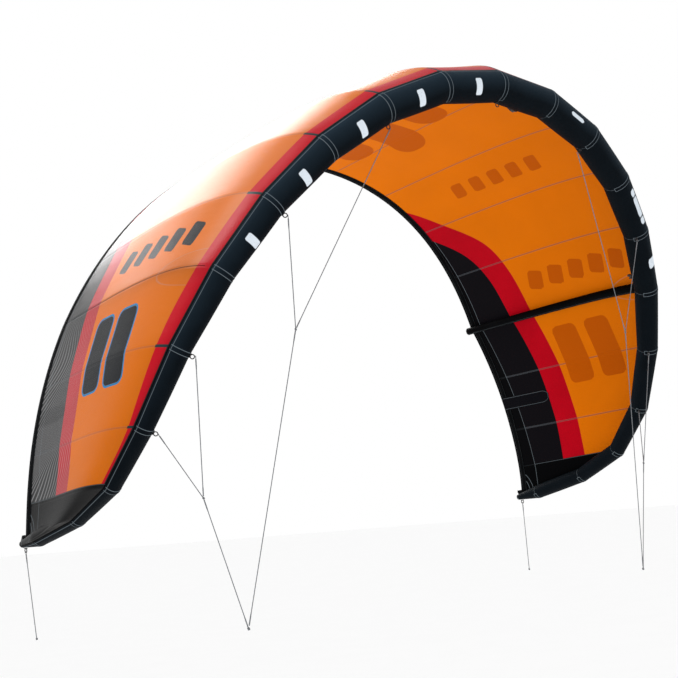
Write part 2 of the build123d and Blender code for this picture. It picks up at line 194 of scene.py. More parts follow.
def along(points):
    """The way from the first point of a line to each of its points."""
    steps = np.linalg.norm(np.diff(points, axis=0), axis=1)
    return np.concatenate([[0], np.cumsum(steps)])


def grid_normals(points):
    down = np.gradient(points, axis=1)
    across = np.gradient(points, axis=0)
    return unit(np.cross(down, across) + 1e-12)


# ---- meshes
def add_object(name, mesh):
    piece = bpy.data.objects.new(name, mesh)
    bpy.context.scene.collection.objects.link(piece)
    return piece


def mesh_object(name, points, faces, material, smooth=True):
    mesh = bpy.data.meshes.new(name)
    mesh.from_pydata([tuple(p) for p in points], [], faces)
    mesh.validate()
    mesh.polygons.foreach_set("use_smooth", [smooth] * len(mesh.polygons))
    mesh.materials.append(material)
    return add_object(name, mesh)


def grid_faces(rows, columns, wrap_columns=False):
    faces = []
    for row in range(rows - 1):
        for column in range(columns - (0 if wrap_columns else 1)):
            after = (column + 1) % columns
            faces.append((row * columns + column, (row + 1) * columns + column,
                          (row + 1) * columns + after, row * columns + after))
    return faces


def grid_object(name, points, material, wrap=False, caps=False):
    rows, columns = points.shape[:2]
    faces = grid_faces(rows, columns, wrap)
    flat = points.reshape(-1, 3)
    if caps:
        centres = np.stack([points[0].mean(0), points[-1].mean(0)])
        for centre, row, turn in ((0, 0, 1), (1, rows - 1, -1)):
            middle = len(flat) + centre
            for column in range(columns):
                edge = (row * columns + column, row * columns + (column + 1) % columns)
                faces.append((middle, *edge[::turn]))
        flat = np.concatenate([flat, centres])
    return mesh_object(name, flat, faces, material)


def set_numbers(piece, name, values):
    """Stores one number for each vertex, for the materials."""
    values = np.asarray(values, np.float32).ravel()
    missing = len(piece.data.vertices) - len(values)
    values = np.concatenate([values, np.full(missing, values[-1], np.float32)])
    piece.data.attributes.new(name, "FLOAT", "POINT").data.foreach_set("value", values)


def set_places(piece, name, across, down):
    """Stores a flat cloth place, in metres, for each vertex."""
    places = np.zeros((len(piece.data.vertices), 3), np.float32)
    across = np.asarray(across).ravel()
    places[: len(across), 0] = across
    places[: len(across), 1] = np.asarray(down).ravel()
    piece.data.attributes.new(name, "FLOAT_VECTOR", "POINT").data.foreach_set("vector", places.ravel())


def round_box(x, y, centre, half, corner):
    """Signed distance to a box with round corners: negative inside."""
    away_x = np.abs(x - centre[0]) - half[0] + corner
    away_y = np.abs(y - centre[1]) - half[1] + corner
    outside = np.hypot(np.maximum(away_x, 0), np.maximum(away_y, 0))
    return outside + np.minimum(np.maximum(away_x, away_y), 0) - corner


def smooth_step(value, low, high):
    share = np.clip((value - low) / (high - low), 0, 1)
    return share * share * (3 - 2 * share)


# ---- materials
class Value:
    """An output of a material's nodes, with arithmetic and short ways to work on from it."""

    def __init__(self, output):
        self.output = output

    def maths(self, operation, *others, swapped=False):
        values = (self, *others)
        node = add_node(self, "Math")
        node.operation = operation
        for socket, value in zip(node.inputs, reversed(values) if swapped else values):
            feed(socket, value)
        return Value(node.outputs[0])

    def __add__(self, other):
        return self.maths("ADD", other)

    def __sub__(self, other):
        return self.maths("SUBTRACT", other)

    def __rsub__(self, other):
        return self.maths("SUBTRACT", other, swapped=True)

    def __mul__(self, other):
        return self.maths("MULTIPLY", other)

    def __or__(self, other):
        """The larger of two values: either of two masks."""
        return self.maths("MAXIMUM", other)

    def ramp(self, low, high):
        """0 at the low value to 1 at the high one."""
        node = add_node(self, "MapRange", Value=self)
        node.inputs["From Min"].default_value = low
        node.inputs["From Max"].default_value = high
        return Value(node.outputs["Result"])

    def above(self, edge=0.0, soft=0.0012):
        return self.ramp(edge - soft, edge + soft)

    def below(self, edge=0.0, soft=0.0012):
        return 1.0 - self.above(edge, soft)

    def band(self, centre, half, soft=0.0008):
        return (self - centre).maths("ABSOLUTE").below(half, soft)

    def mix(self, first, second):
        """The first colour where this is 0, the second where it is 1."""
        node = add_node(self, "Mix")
        node.data_type = "RGBA"
        for index, value in ((0, self), (6, first), (7, second)):
            feed(node.inputs[index], value)
        return Value(node.outputs[2])

    def paint(self, tone, mask, share):
        """This colour with a share of the tone over it, where the mask is 1."""
        return (mask * share).mix(self, tone)

    def noise(self, scale, detail=3.0, roughness=0.55, stretch=None):
        place = self
        if stretch:
            mapping = add_node(self, "Mapping", Vector=self)
            mapping.inputs["Scale"].default_value = stretch
            place = Value(mapping.outputs[0])
        node = add_node(self, "TexNoise", Vector=place, Scale=scale, Detail=detail, Roughness=roughness)
        return Value(node.outputs["Fac"])

    def blotch(self, scale, detail=4.0, low=0.3, high=0.7):
        return self.noise(scale, detail).ramp(low, high)

    def parts(self):
        return [Value(part) for part in add_node(self, "SeparateXYZ", Vector=self).outputs]

    def threads(self, pitch):
        """A round wave of one thread each pitch."""
        return (self * (2 * np.pi / pitch)).maths("SINE")

    def dashes(self, edge, soft=0.3):
        """A broken row: the stitches of a thread."""
        return self.threads(STITCH_PITCH).above(edge, soft)

    def crossed(self, other, pitch):
        """Two sets of threads across each other."""
        return self.threads(pitch) * other.threads(pitch)

    def bump(self, distance, strength, under=None):
        node = add_node(self, "Bump", Strength=strength, Distance=distance, Height=self)
        if under:
            feed(node.inputs["Normal"], under)
        return Value(node.outputs["Normal"])


def add_node(value, kind, **inputs):
    """A new node beside a value's own, with a value or a link for each input named."""
    node = value.output.id_data.nodes.new(f"ShaderNode{kind}")
    for name, given in inputs.items():
        feed(node.inputs[name], given)
    return node


def feed(socket, value):
    if isinstance(value, Value):
        socket.id_data.links.new(value.output, socket)
    elif isinstance(value, tuple) and socket.type == "RGBA":
        socket.default_value = (*value, 1.0)
    else:
        socket.default_value = value


class Surface:
    """A Principled material and the values that its colour starts from."""

    def __init__(self, name, roughness, specular):
        self.material = bpy.data.materials.new(name)
        self.material.use_nodes = True
        nodes = self.material.node_tree.nodes
        self.shader = nodes["Principled BSDF"]
        self.end = nodes["Material Output"].inputs["Surface"]
        self.light = Value(self.shader.outputs[0])
        self.set(Roughness=roughness, Specular_IOR_Level=specular)

    def set(self, **inputs):
        for name, value in inputs.items():
            feed(self.shader.inputs[name.replace("_", " ")], value)

    def stored(self, name, output="Fac"):
        node = add_node(self.light, "Attribute")
        node.attribute_name = name
        return Value(node.outputs[output])

    def ways(self, *names):
        return [self.stored(f"{name}_way") for name in names]

    def cloth(self):
        """Place on the flat cloth, in metres, and its parts across and down."""
        place = self.stored("cloth", "Vector")
        return place, *place.parts()[:2]

    def place(self):
        return Value(add_node(self.light, "TexCoord").outputs["Object"])

    def geometry(self, output):
        return Value(add_node(self.light, "NewGeometry").outputs[output])

    def finish(self, colour, normal, **inputs):
        self.set(Base_Color=colour, Normal=normal, **inputs)
        return self.material


ORANGE = (0.55, 0.125, 0.0005)
ORANGE_SEAM = (0.30, 0.085, 0.020)
PATCH_SEAM = (0.36, 0.20, 0.15)
RED = (0.36, 0.0015, 0.008)
STRIP_RED = (0.46, 0.002, 0.012)
# outer face of the dark field: the black cloth lightened to grey by a painted reflection
OUTER_FIELD_PAINTED_SHEEN = (0.017, 0.018, 0.019)
LINING_BLACK = (0.0026, 0.0026, 0.0038)
BLACK = (0.0012, 0.0013, 0.0016)
STRUT_THREAD = (0.004, 0.0045, 0.005)
TAPE_TONES = ((0.0014, 0.0016, 0.0019), (0.0040, 0.0044, 0.0050))
TEAL_BLACK = (0.005, 0.010, 0.012)
TAB_TEAL = (0.018, 0.034, 0.038)
SEAM_GREY = (0.095, 0.050, 0.045)
FIELD_SEAM_GREY = (0.045, 0.048, 0.055)
THREAD_GREY = (0.14, 0.17, 0.19)
CONTOUR_GREY = (0.42, 0.42, 0.43)
PRINT_BLACK = (0.003, 0.004, 0.006)
PRINT_THROUGH = (0.37, 0.068, 0.0008)
BADGE_BROWN = (0.20, 0.035, 0.004)
PRINT_BLUE = (0.003, 0.15, 0.33)
TUBE_BLACK = (0.0013, 0.0020, 0.0028)
# lighter blue: the tube's weave threads, and the painted highlight on the top of the tube
TUBE_WEAVE_AND_HIGHLIGHT_BLUE = (0.0125, 0.0225, 0.0330)
WHITE_PRINT = (0.62, 0.68, 0.74)
LINE_TONES = ((0.100, 0.108, 0.120), (0.150, 0.160, 0.172))
LINE_THREAD = (0.23, 0.24, 0.25)
WEBBING_TONES = ((0.010, 0.010, 0.011), (0.028, 0.028, 0.030))
PLASTIC_TONES = ((0.012, 0.012, 0.013), (0.035, 0.036, 0.038))
RUBBER_TONES = ((0.014, 0.014, 0.015), (0.05, 0.05, 0.05))
FILM_TONES = ((0.62, 0.66, 0.70), (0.78, 0.80, 0.82))
FLOOR_TONES = ((0.95, 0.95, 0.95), (0.97, 0.97, 0.97))

RIPSTOP_CELL = 0.003
STITCH_PITCH = 0.006
TUBE_STITCH_PITCH = 0.0065
CLOTH_PITCH = 0.0016
PATCH_PITCH = 0.002
TAPE_RIB_PITCH = 0.0018
WEBBING_RIB_PITCH = 0.0022
BRAID_PITCH = 0.0042
HOSE_RING_PITCH = 0.004
CONTOUR_PITCH = 0.022
CONTOUR_SWAY = 0.62
ARC_PITCH = 0.030
ARC_REACH = 0.105
TRANSLUCENCE = 0.30


def toned(tone, factor):
    return tone, tuple(channel * factor for channel in tone)


def canopy_material():
    surface = Surface("canopy_cloth", 0.36, 0.5)
    cloth, across, down = surface.cloth()
    seam, front, rear, tip, patch, mark = surface.ways("seam", "front", "rear", "tip", "patch", "mark")
    badge, stripe, field, wing, arc = surface.ways("badge", "stripe", "field", "wing", "arc")
    field = field.above()
    beyond_tip = tip.above()
    under = surface.geometry("Backfacing")
    outer = 1.0 - under

    grain = cloth.noise(900.0, 2.0)
    blotch = cloth.blotch(3.0)
    cells = [way.maths("PINGPONG", RIPSTOP_CELL).band(0.0, 0.0004, 0.0003) for way in (across, down)]
    ripstop = cells[0] | cells[1]
    orange = blotch.mix(*toned(ORANGE, 0.93)).paint(ORANGE_SEAM, ripstop, 0.10)
    red = blotch.mix(*toned(RED, 0.85))
    # dark field: a painted reflection makes the outer face grey, while the inner face keeps the black cloth
    # colour
    dark = under.mix(OUTER_FIELD_PAINTED_SHEEN, LINING_BLACK).paint(SEAM_GREY, grain.ramp(0.4, 0.9), 0.06)

    # thin printed contour lines on the rear field of the wings
    contour = (down + cloth.noise(1.5, 0.0) * CONTOUR_SWAY).threads(CONTOUR_PITCH).above(0.55, 0.25)
    contour = contour * (outer * wing.above(5.2, 0.6))
    dark = dark.paint(CONTOUR_GREY, contour, 0.32)
    red = red.paint(CONTOUR_GREY, contour, 0.30)
    colour = field.mix(stripe.above().mix(orange, red), dark)

    # panel seams: two cloths overlap, with a row of stitches on each side
    colour = colour.paint(field.mix(SEAM_GREY, FIELD_SEAM_GREY), seam.band(0.0, 0.0036), 0.52 - outer * 0.26)
    colour = colour.paint(THREAD_GREY, seam.band(0.0042, 0.0006, 0.0004) * down.dashes(-0.5), 0.5)

    # reinforcement patches over the struts: a second cloth and a line of stitches
    colour = colour.paint(ORANGE_SEAM, patch.below(), 0.10)
    colour = colour.paint(PATCH_SEAM, patch.band(-0.004, 0.0016), 0.4)

    # printed bars: dark on top, showing through underneath
    rim = mark.band(0.006, 0.006) * (outer * surface.stored("rim_way"))
    colour = rim.mix(colour, PRINT_BLUE)
    colour = mark.below().mix(colour, under.mix(PRINT_BLACK, PRINT_THROUGH))
    colour = badge.below().mix(colour, under.mix(BADGE_BROWN, PRINT_THROUGH))

    # the red strip and the dark flap along the tube, with a tab over each seam
    past_strip = front - surface.stored("strip_width")
    colour = past_strip.below().mix(colour, STRIP_RED)
    tab = seam.band(0.0, 0.0075) * past_strip.below(0.006)
    colour = colour.paint(TAB_TEAL, tab, surface.stored("tab_way"))
    colour = front.below(0.007).mix(colour, TEAL_BLACK)

    # tip panel, the hem along the trailing edge and its seam, and the stitches at the rear corner
    colour = beyond_tip.mix(colour, BLACK)
    colour = colour.paint(THREAD_GREY, tip.band(0.004, 0.0012), 0.5)
    past_hem = rear - surface.stored("hem_width")
    colour = colour.paint(BLACK, past_hem.below() * (under * field), 0.8)
    colour = colour.paint(THREAD_GREY, past_hem.band(0.0, 0.0016) * (field | beyond_tip), 0.6)
    arcs = arc.threads(ARC_PITCH).above(0.9, 0.06)
    colour = colour.paint(THREAD_GREY, arcs * arc.below(ARC_REACH), 0.6)

    normal = cloth.noise(1.0, 3.0, 0.5, stretch=(16.0, 3.0, 1.0)).bump(0.010, 0.14)
    normal = (ripstop * 0.6 + grain).bump(0.0003, 0.5, normal)
    surface.set(Sheen_Weight=outer * (tip.below() * 0.05), Sheen_Roughness=0.30)

    # thin cloth lets the light through
    glow = add_node(colour, "BsdfTranslucent", Color=colour, Normal=normal)
    both = add_node(colour, "MixShader")
    for socket, value in zip(both.inputs, (TRANSLUCENCE, surface.light, Value(glow.outputs[0]))):
        feed(socket, value)
    feed(surface.end, Value(both.outputs[0]))
    return surface.finish(colour, normal, Specular_IOR_Level=outer * 0.11 + 0.015)


def tube_material():
    surface = Surface("tube_cloth", 0.45, 0.012)
    cloth, across, down = surface.cloth()
    seam, join, strap_end, mark = surface.ways("seam", "join", "strap", "mark")
    spots = cloth.noise(6.0, 5.0)
    fine = across.crossed(down, CLOTH_PITCH)
    colour = spots.ramp(0.3, 0.72).mix(*toned(TUBE_BLACK, 1.7))
    # painted highlight: the upward-facing top of the tube is painted a lighter blue, fading out lower down
    # towards the wing tips
    facing_up = surface.geometry("Normal").parts()[2]
    height = surface.place().parts()[2]
    painted_top_highlight = (facing_up + spots * 0.25).ramp(-0.35, 0.75)
    colour = colour.paint(TUBE_WEAVE_AND_HIGHLIGHT_BLUE, painted_top_highlight, height.ramp(-2.0, -1.2))
    colour = colour.paint(TUBE_WEAVE_AND_HIGHLIGHT_BLUE, fine.ramp(-1.0, 1.0), 0.2)

    # each seam has a strap sewn over its front, with a closed lower end, and a plain seam below it
    rows = seam.band(0.0115, 0.0014) * strap_end.below()
    close = strap_end.band(0.0, 0.0014) * seam.below(0.0125)
    plain = seam.band(0.0, 0.0012) * strap_end.above()
    thread = (rows | close | plain * 0.6) * join.above(0.009) | join.band(0.016, 0.0014) * 0.8
    dashes = (across + down).threads(TUBE_STITCH_PITCH).above(-0.75, 0.25)
    colour = colour.paint(THREAD_GREY, thread, dashes * 0.5 + 0.45)
    colour = join.below(0.006).mix(colour, BLACK)
    colour = colour.paint(WHITE_PRINT, mark.below(), cloth.blotch(260.0, 2.0, 0.28, 0.34))

    normal = cloth.noise(1.0, 4.0, 0.55, stretch=(9.0, 30.0, 1.0)).bump(0.004, 0.5)
    normal = fine.bump(0.0002, 0.6, thread.bump(0.0006, 0.6, normal))
    return surface.finish(colour, normal, Roughness=spots.ramp(0.2, 0.8) * 0.14 + 0.40)


def strut_material():
    surface = Surface("strut_cloth", 0.5, 0.01)
    cloth, across, down = surface.cloth()
    fine = across.crossed(down, CLOTH_PITCH)
    line = surface.stored("line_way")
    colour = cloth.blotch(9.0, 5.0).mix(*toned(BLACK, 1.9))
    colour = colour.paint(STRUT_THREAD, fine.ramp(-1.0, 1.0), 0.2)
    rows = line.band(0.004, 0.0007) | line.band(-0.004, 0.0007)
    colour = colour.paint(THREAD_GREY, rows * down.dashes(-0.6), 0.55)
    normal = cloth.noise(1.0, 4.0, 0.55, stretch=(24.0, 60.0, 1.0)).bump(0.003, 0.45)
    normal = line.band(0.0, 0.006).bump(0.0006, 0.5, normal)
    return surface.finish(colour, fine.bump(0.0002, 0.6, normal))


def tape_material():
    surface = Surface("edge_tape", 0.62, 0.012)
    cloth, across, down = surface.cloth()
    rows = down.band(0.006, 0.0007) | down.band(0.034, 0.0007)
    stitches = rows * across.dashes(-0.5)
    colour = cloth.blotch(12.0).mix(*TAPE_TONES).paint(THREAD_GREY, stitches, 0.3)
    normal = across.threads(TAPE_RIB_PITCH).bump(0.0002, 0.6)
    return surface.finish(colour, stitches.bump(0.0004, 0.6, normal))


def pocket_material():
    surface = Surface("patch_lower", 0.6, 0.015)
    cloth, across, down = surface.cloth()
    stitches = surface.stored("rim_way").band(0.006, 0.0012)
    colour = cloth.blotch(14.0).mix(*toned(LINING_BLACK, 1.3)).paint(THREAD_GREY, stitches, 0.6)
    return surface.finish(colour, across.crossed(down, PATCH_PITCH).bump(0.0002, 0.6))


def line_material():
    surface = Surface("bridle_line", 0.55, 0.4)
    place = surface.place()
    x, y, z = place.parts()
    braid = (z + x).crossed(z - y, BRAID_PITCH)
    colour = place.blotch(40.0, 3.0).mix(*LINE_TONES).paint(LINE_THREAD, braid.ramp(-1.0, 1.0), 0.35)
    return surface.finish(colour, braid.bump(0.0004, 0.7))


def webbing_material():
    surface = Surface("webbing", 0.7, 0.2)
    place = surface.place()
    x, y, z = place.parts()
    ribs = (x + y).crossed(z - y, WEBBING_RIB_PITCH)
    return surface.finish(place.blotch(90.0, 3.0).mix(*WEBBING_TONES), ribs.bump(0.0003, 0.8))


def plastic_material():
    surface = Surface("black_plastic", 0.36, 0.5)
    place = surface.place()
    wear = place.noise(70.0, 4.0)
    normal = place.noise(1500.0, 2.0).bump(0.00012, 0.5)
    return surface.finish(wear.ramp(0.45, 0.75).mix(*PLASTIC_TONES), normal, Roughness=wear * 0.25 + 0.24)


def hose_material():
    surface = Surface("hose_rubber", 0.5, 0.45)
    place = surface.place()
    x, y, _ = place.parts()
    rings = (y + x * 0.4).threads(HOSE_RING_PITCH)
    return surface.finish(place.blotch(60.0, 4.0, 0.4, 0.8).mix(*RUBBER_TONES), rings.bump(0.0006, 0.5))


def film_material():
    surface = Surface("bladder_film", 0.3, 0.5)
    folds = surface.place().noise(35.0, 5.0)
    return surface.finish(folds.ramp(0.3, 0.7).mix(*FILM_TONES), folds.bump(0.003, 0.4))


def floor_material():
    surface = Surface("floor", 0.9, 0.1)
    surface.set(Base_Color=surface.place().noise(0.6, 2.0).mix(*FLOOR_TONES))
    return surface.material


# ---- camera
EYE = (-5.389, -5.058, -1.949)
EYE_TURN = (39.827, 5.563, -4.399)
LENS = 77.59


def make_camera():
    """Eye below the kite's nose, to its front left, turned a little about its line of sight."""
    yaw, pitch, roll = np.radians(EYE_TURN)
    look = Vector((np.sin(yaw) * np.cos(pitch), np.cos(yaw) * np.cos(pitch), np.sin(pitch)))
    level = Vector((np.cos(yaw), -np.sin(yaw), 0))
    upright = level.cross(look)
    right = level * np.cos(roll) + upright * np.sin(roll)
    top = upright * np.cos(roll) - level * np.sin(roll)
    data = bpy.data.cameras.new("camera")
    data.lens = LENS
    data.sensor_width = 36.0
    data.clip_end = 200.0
    camera = add_object("camera", data)
    camera.matrix_world = Matrix((*zip(right, top, -look, EYE), (0, 0, 0, 1)))
    bpy.context.scene.camera = camera


make_camera()

# ---- bridle lines
# The route points of the frame: the two ends of each taut run, on the right wing.
BRIDLE_SEAMS = {"tip": (7, 38), "outer": (6, 38), "inner": (4, 30), "root": (2, -10)}
OUTER_JUNCTION = np.array([1.586, 0.559, -1.977])
INNER_JUNCTION = np.array([1.193, 0.283, -1.227])
FRONT_LINE_POINT = np.array([1.422, 0.505, -2.589])
REAR_LINE_END = np.array([1.825, 1.796, -2.626])
REAR_HINGE = np.array([1.84497, 1.822, -2.19421])
LOOP_RING_RADIUS = 0.010
LOOP_WIRE_RADIUS = 0.0025
LOOP_HEIGHT = 0.0018 + 2 * (LOOP_RING_RADIUS + LOOP_WIRE_RADIUS)
EYE_RADIUS = 0.005
KNOT_RADIUS = 0.006
FRONT_KNOT_RADIUS = 0.007
LINE_GAP = 0.0004
SPLICE_GAP = 0.009
OPEN_PIVOT_GAP = 0.008
EYE_REACH = 0.0165
EYE_START = 0.004
EYE_HALF_WIDTH = 0.0042
EYE_CORD_RADIUS = 0.0013
SPLICE_LENGTH = 0.055
TAIL_LENGTH = 0.05
LOWER_SPLICE_LENGTH = 0.06
TAPER_START = 0.04
SPLICE_STEPS = 12
KNOT_SWING = 0.62
KNOT_CORD = 0.36


def bridle_direction(place):
    seam, forward = BRIDLE_SEAMS[place]
    turn = np.radians(forward)
    index = seam_index(seam)
    return unit(-OUTWARD[index] * np.cos(turn) - REARWARD[index] * np.sin(turn))


def bridle_end(place):
    index = seam_index(BRIDLE_SEAMS[place][0])
    reach = RADII[index] + LOOP_HEIGHT + LINE_GAP + EYE_RADIUS
    return CENTRES[index] + bridle_direction(place) * reach


line_cloth = line_material()
ANY_WAY = np.array([0.3, 0.9, 0.2])


def tube_mesh(name, line, radii, material, sides=12, closed=False):
    """A round tube along a list of points."""
    line = np.asarray(line, float)
    if closed:
        heading = unit(np.roll(line, -1, 0) - np.roll(line, 1, 0))
    else:
        heading = unit(np.gradient(line, axis=0))
    normal = np.cross(heading[0], ANY_WAY)
    rings = []
    turn = full_turn(sides)[:, None]
    for point, ahead, radius in zip(line, heading, radii):
        normal = unit(normal - ahead * np.dot(normal, ahead))
        other = np.cross(ahead, normal)
        rings.append(point + radius * (np.cos(turn) * normal + np.sin(turn) * other))
    rings = np.array(rings)
    if closed:
        rings = np.concatenate([rings, rings[:1]])
    return grid_object(name, rings[:, ::-1], material, wrap=True, caps=not closed)


def make_line(name, start, end):
    """A taut line: one spline along the run from start to end."""
    curve = bpy.data.curves.new(name, "CURVE")
    curve.dimensions = "3D"
    curve.bevel_depth = LINE_DIAMETER / 2
    curve.bevel_resolution = 3
    curve.use_fill_caps = True
    spline = curve.splines.new("NURBS")
    near_end = (end - start) * 0.02
    stops = [start, start + near_end, end - near_end, end]
    spline.points.add(len(stops) - 1)
    for point, stop in zip(spline.points, stops):
        point.co = (*stop, 1)
    spline.order_u = 3
    spline.use_endpoint_u = True
    curve.materials.append(line_cloth)
    return add_object(name, curve)


def splice_radii(way, taper_start, taper_end, swell=1.42, loss=0.38):
    """Radii of the thick, spliced part of a line, narrowing towards the plain line."""
    return LINE_DIAMETER / 2 * (swell - loss * smooth_step(way, taper_start, taper_end))


def eye_splice(name, end, ahead, side):
    """A soft eye at a line's end: a loop round the webbing, and the thick spliced tail below it."""
    turn = full_turn(28)
    width = EYE_HALF_WIDTH * np.sin(turn) * (1 - 0.35 * np.cos(turn))
    height = EYE_REACH * (0.5 - 0.5 * np.cos(turn)) - EYE_START
    loop = end - np.outer(height, ahead) + np.outer(width, side)
    radii = np.full(len(turn), EYE_CORD_RADIUS)
    eye = tube_mesh(f"{name}_eye", loop, radii, line_cloth, sides=8, closed=True)
    way = np.linspace(0.0, SPLICE_LENGTH, SPLICE_STEPS)
    thick = splice_radii(way, 0.035, SPLICE_LENGTH)
    thick[0] *= 0.55
    splice = tube_mesh(f"{name}_splice", end + np.outer(way, ahead), thick, line_cloth)
    return [eye, splice]


def knot(name, centre, ahead, radius):
    """A stopper knot: a figure of turns wound round the line."""
    side = unit(np.cross(ahead, [0.4, 0.8, 0.1]))
    other = np.cross(ahead, side)
    turn = full_turn(72)[:, None]
    swing = radius * KNOT_SWING
    line = centre + side * (np.cos(2 * turn) + 0.4 * np.cos(turn)) * swing * 0.75
    line = line + other * (np.sin(2 * turn) - 0.4 * np.sin(turn)) * swing * 0.75
    line = line + ahead * np.sin(3 * turn) * swing
    return tube_mesh(name, line, np.full(len(turn), radius * KNOT_CORD), line_cloth, sides=10, closed=True)


def mirrored(point, side):
    return np.asarray(point, float) * (MIRROR if side == "left" else 1.0)


def finish_line(line, body, node, start, end, pieces):
    for piece in (line, *pieces):
        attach(piece, body)
    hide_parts(node)
    float(np.linalg.norm(end - start))


def make_upper_line(side, place, pair, junction, tied):
    """From a loop on the tube to a junction: knotted there, or spliced round the other line."""
    start, end = mirrored(bridle_end(place), side), mirrored(junction, side)
    ahead = unit(end - start)
    gap = 0.0 if tied else SPLICE_GAP
    name = f"line_{place}_{side}"
    line = make_line(name, start, end - ahead * gap)
    run = mirrored(ALONG[seam_index(BRIDLE_SEAMS[place][0])], side)
    towards = mirrored(bridle_direction(place), side)
    pieces = eye_splice(name, start, ahead, unit(np.cross(towards, run)))
    if tied:
        pieces.append(knot(f"{name}_knot", end, ahead, KNOT_RADIUS))
    else:
        way = np.linspace(gap, gap + TAIL_LENGTH, SPLICE_STEPS)
        thick = splice_radii(way, TAPER_START, gap + TAIL_LENGTH)
        pieces.append(tube_mesh(f"{name}_tail", end - np.outer(way, ahead), thick, line_cloth))
    finish_line(line, f"{pair}_bridle_{side}", f"bridle_line_{place}_{side}", start, end - ahead * gap,
                pieces)


def make_lower_line(side, place, junction, tied):
    """From a junction to the front line point: knotted there, or ending short of that knot."""
    corner, target = mirrored(junction, side), mirrored(FRONT_LINE_POINT, side)
    ahead = unit(target - corner)
    start = corner + ahead * (KNOT_RADIUS + LINE_GAP)
    end = target - ahead * (0.0 if tied else FRONT_KNOT_RADIUS + OPEN_PIVOT_GAP)
    name = f"line_{place}_{side}"
    line = make_line(name, start, end)
    pieces = [knot(f"{name}_knot", target, ahead, FRONT_KNOT_RADIUS)] if tied else []
    way = np.linspace(0, LOWER_SPLICE_LENGTH, SPLICE_STEPS)
    thick = splice_radii(way, TAPER_START, LOWER_SPLICE_LENGTH, swell=1.4, loss=0.36)
    pieces.append(tube_mesh(f"{name}_splice", start + np.outer(way, ahead), thick, line_cloth))
    pieces.append(tube_mesh(f"{name}_tail", end - np.outer(way + 0.001, ahead), thick, line_cloth))
    finish_line(line, f"{place}_line_{side}", f"bridle_line_{place}_{side}", start, end,
                pieces)


def make_pigtail(side):
    """From the loop at the rear of the tip to its own end knot."""
    start, end = mirrored(REAR_HINGE, side), mirrored(REAR_LINE_END, side)
    ahead = unit(end - start)
    name = f"line_rear_{side}"
    line = make_line(name, start, end)
    pieces = eye_splice(name, start, ahead, np.array([1.0, 0, 0]))
    pieces.append(knot(f"{name}_knot", end, ahead, KNOT_RADIUS))
    finish_line(line, f"rear_line_{side}", f"rear_pigtail_{side}", start, end, pieces)


for side in ("right", "left"):
    make_upper_line(side, "tip", "outer", OUTER_JUNCTION, tied=True)
    make_upper_line(side, "outer", "outer", OUTER_JUNCTION, tied=False)
    make_upper_line(side, "inner", "inner", INNER_JUNCTION, tied=True)
    make_upper_line(side, "root", "inner", INNER_JUNCTION, tied=False)
    make_lower_line(side, "lower_outer", OUTER_JUNCTION, tied=True)
    make_lower_line(side, "lower_inner", INNER_JUNCTION, tied=False)
    make_pigtail(side)

# ---- canopy
HEM_WIDTH = 0.040
STRIP_WIDTH = 0.082
SEAM_RIDGE = 0.0009
BILLOW = 0.0055
CROWN = 0.010
PANEL_WIDTHS = np.linalg.norm(np.diff(CENTRES[LAST_SEAM:], axis=0), axis=1)
JOIN_WIDTHS = np.linalg.norm(np.diff(JOIN_LINE[LAST_SEAM:], axis=0), axis=1)
STRUT_PATCH = (0.105, 0.40)
CORNER_ARC = 0.05
# Metres for each seam number, to keep the printed blocks in shape.
MARK_SCALE = 0.385
BADGE_SCALE = 0.39
# Printed blocks: first or only places, steps, and half sizes with the corner radius.
MARK_PLACE = (4.48 * MARK_SCALE, 0.30)
MARK_STEP = 0.160
MARK_LEAN = 0.25
MARK_SIZE = ((0.062, 0.056), 0.012)
SMALL_PLACE = (2.50 * MARK_SCALE, 0.62)
SMALL_STEP = 0.15
SMALL_SIZE = ((0.055, 0.045), 0.012)
BAR_SPAN = 5.86 * MARK_SCALE
BAR_PLACES = (0.67, 0.92)
BAR_SIZE = ((0.200, 0.092), 0.040)
BADGE_BARS = ((0.88, 0.40), (1.20, 0.54), (1.52, 0.40))
BADGE_HALF = 0.12
BADGE_CORNER = 0.10
HEM_OUTER = [(-HEM_WIDTH, 0.0016), (-0.014, 0.0020), (0.004, 0.0022), (0.0085, 0.0016), (0.0100, 0.0)]
HEM_INNER = [(-HEM_WIDTH, -0.0008), (0.0, -0.0008), (0.003, 0.0), (0.0, 0.0008), (-HEM_WIDTH, 0.0008)]


def curve_through(stops, value):
    """A smooth curve through given stops, level at each end."""
    places, heights = (np.array(v, float) for v in zip(*stops))
    slopes = np.gradient(heights, places)
    slopes[[0, -1]] = 0
    value = np.clip(value, places[0], places[-1])
    low = np.clip(np.searchsorted(places, value, side="right") - 1, 0, len(places) - 2)
    step = places[low + 1] - places[low]
    t = (value - places[low]) / step
    return (
        heights[low] * (2 * t**3 - 3 * t**2 + 1)
        + slopes[low] * step * (t**3 - 2 * t**2 + t)
        + heights[low + 1] * (3 * t**2 - 2 * t**3)
        + slopes[low + 1] * step * (t**3 - t**2)
    )


# Distance of the stripe's two edges from the trailing edge, by seam number.
STRIPE_FRONT = ((2.0, -0.20), (2.4, 0.0), (3.0, 0.195), (3.6, 0.385), (4.1, 0.445), (4.9, 0.490),
                (11.0, 0.500))
STRIPE_REAR = ((2.6, -0.20), (3.1, 0.0), (3.7, 0.200), (4.2, 0.275), (4.8, 0.315), (11.0, 0.325))


def panel_columns():
    """Seam numbers of the mesh columns of the right wing: close together beside each seam."""
    columns = []
    for seam, width in enumerate(PANEL_WIDTHS):
        edge = np.array([0.0, 0.003, 0.006, 0.009, 0.014])
        edge = edge[edge < width * 0.3]
        count = max(int((width - 2 * edge[-1]) / 0.022), 2)
        middle = np.linspace(edge[-1], width - edge[-1], count + 1)[1:-1]
        ways = np.concatenate([edge, middle, (width - edge[::-1])[:-1] if len(edge) > 1 else []])
        columns.extend(seam + ways / width)
    columns.append(LAST_SEAM)
    return np.array(sorted(set(np.round(columns, 6))))


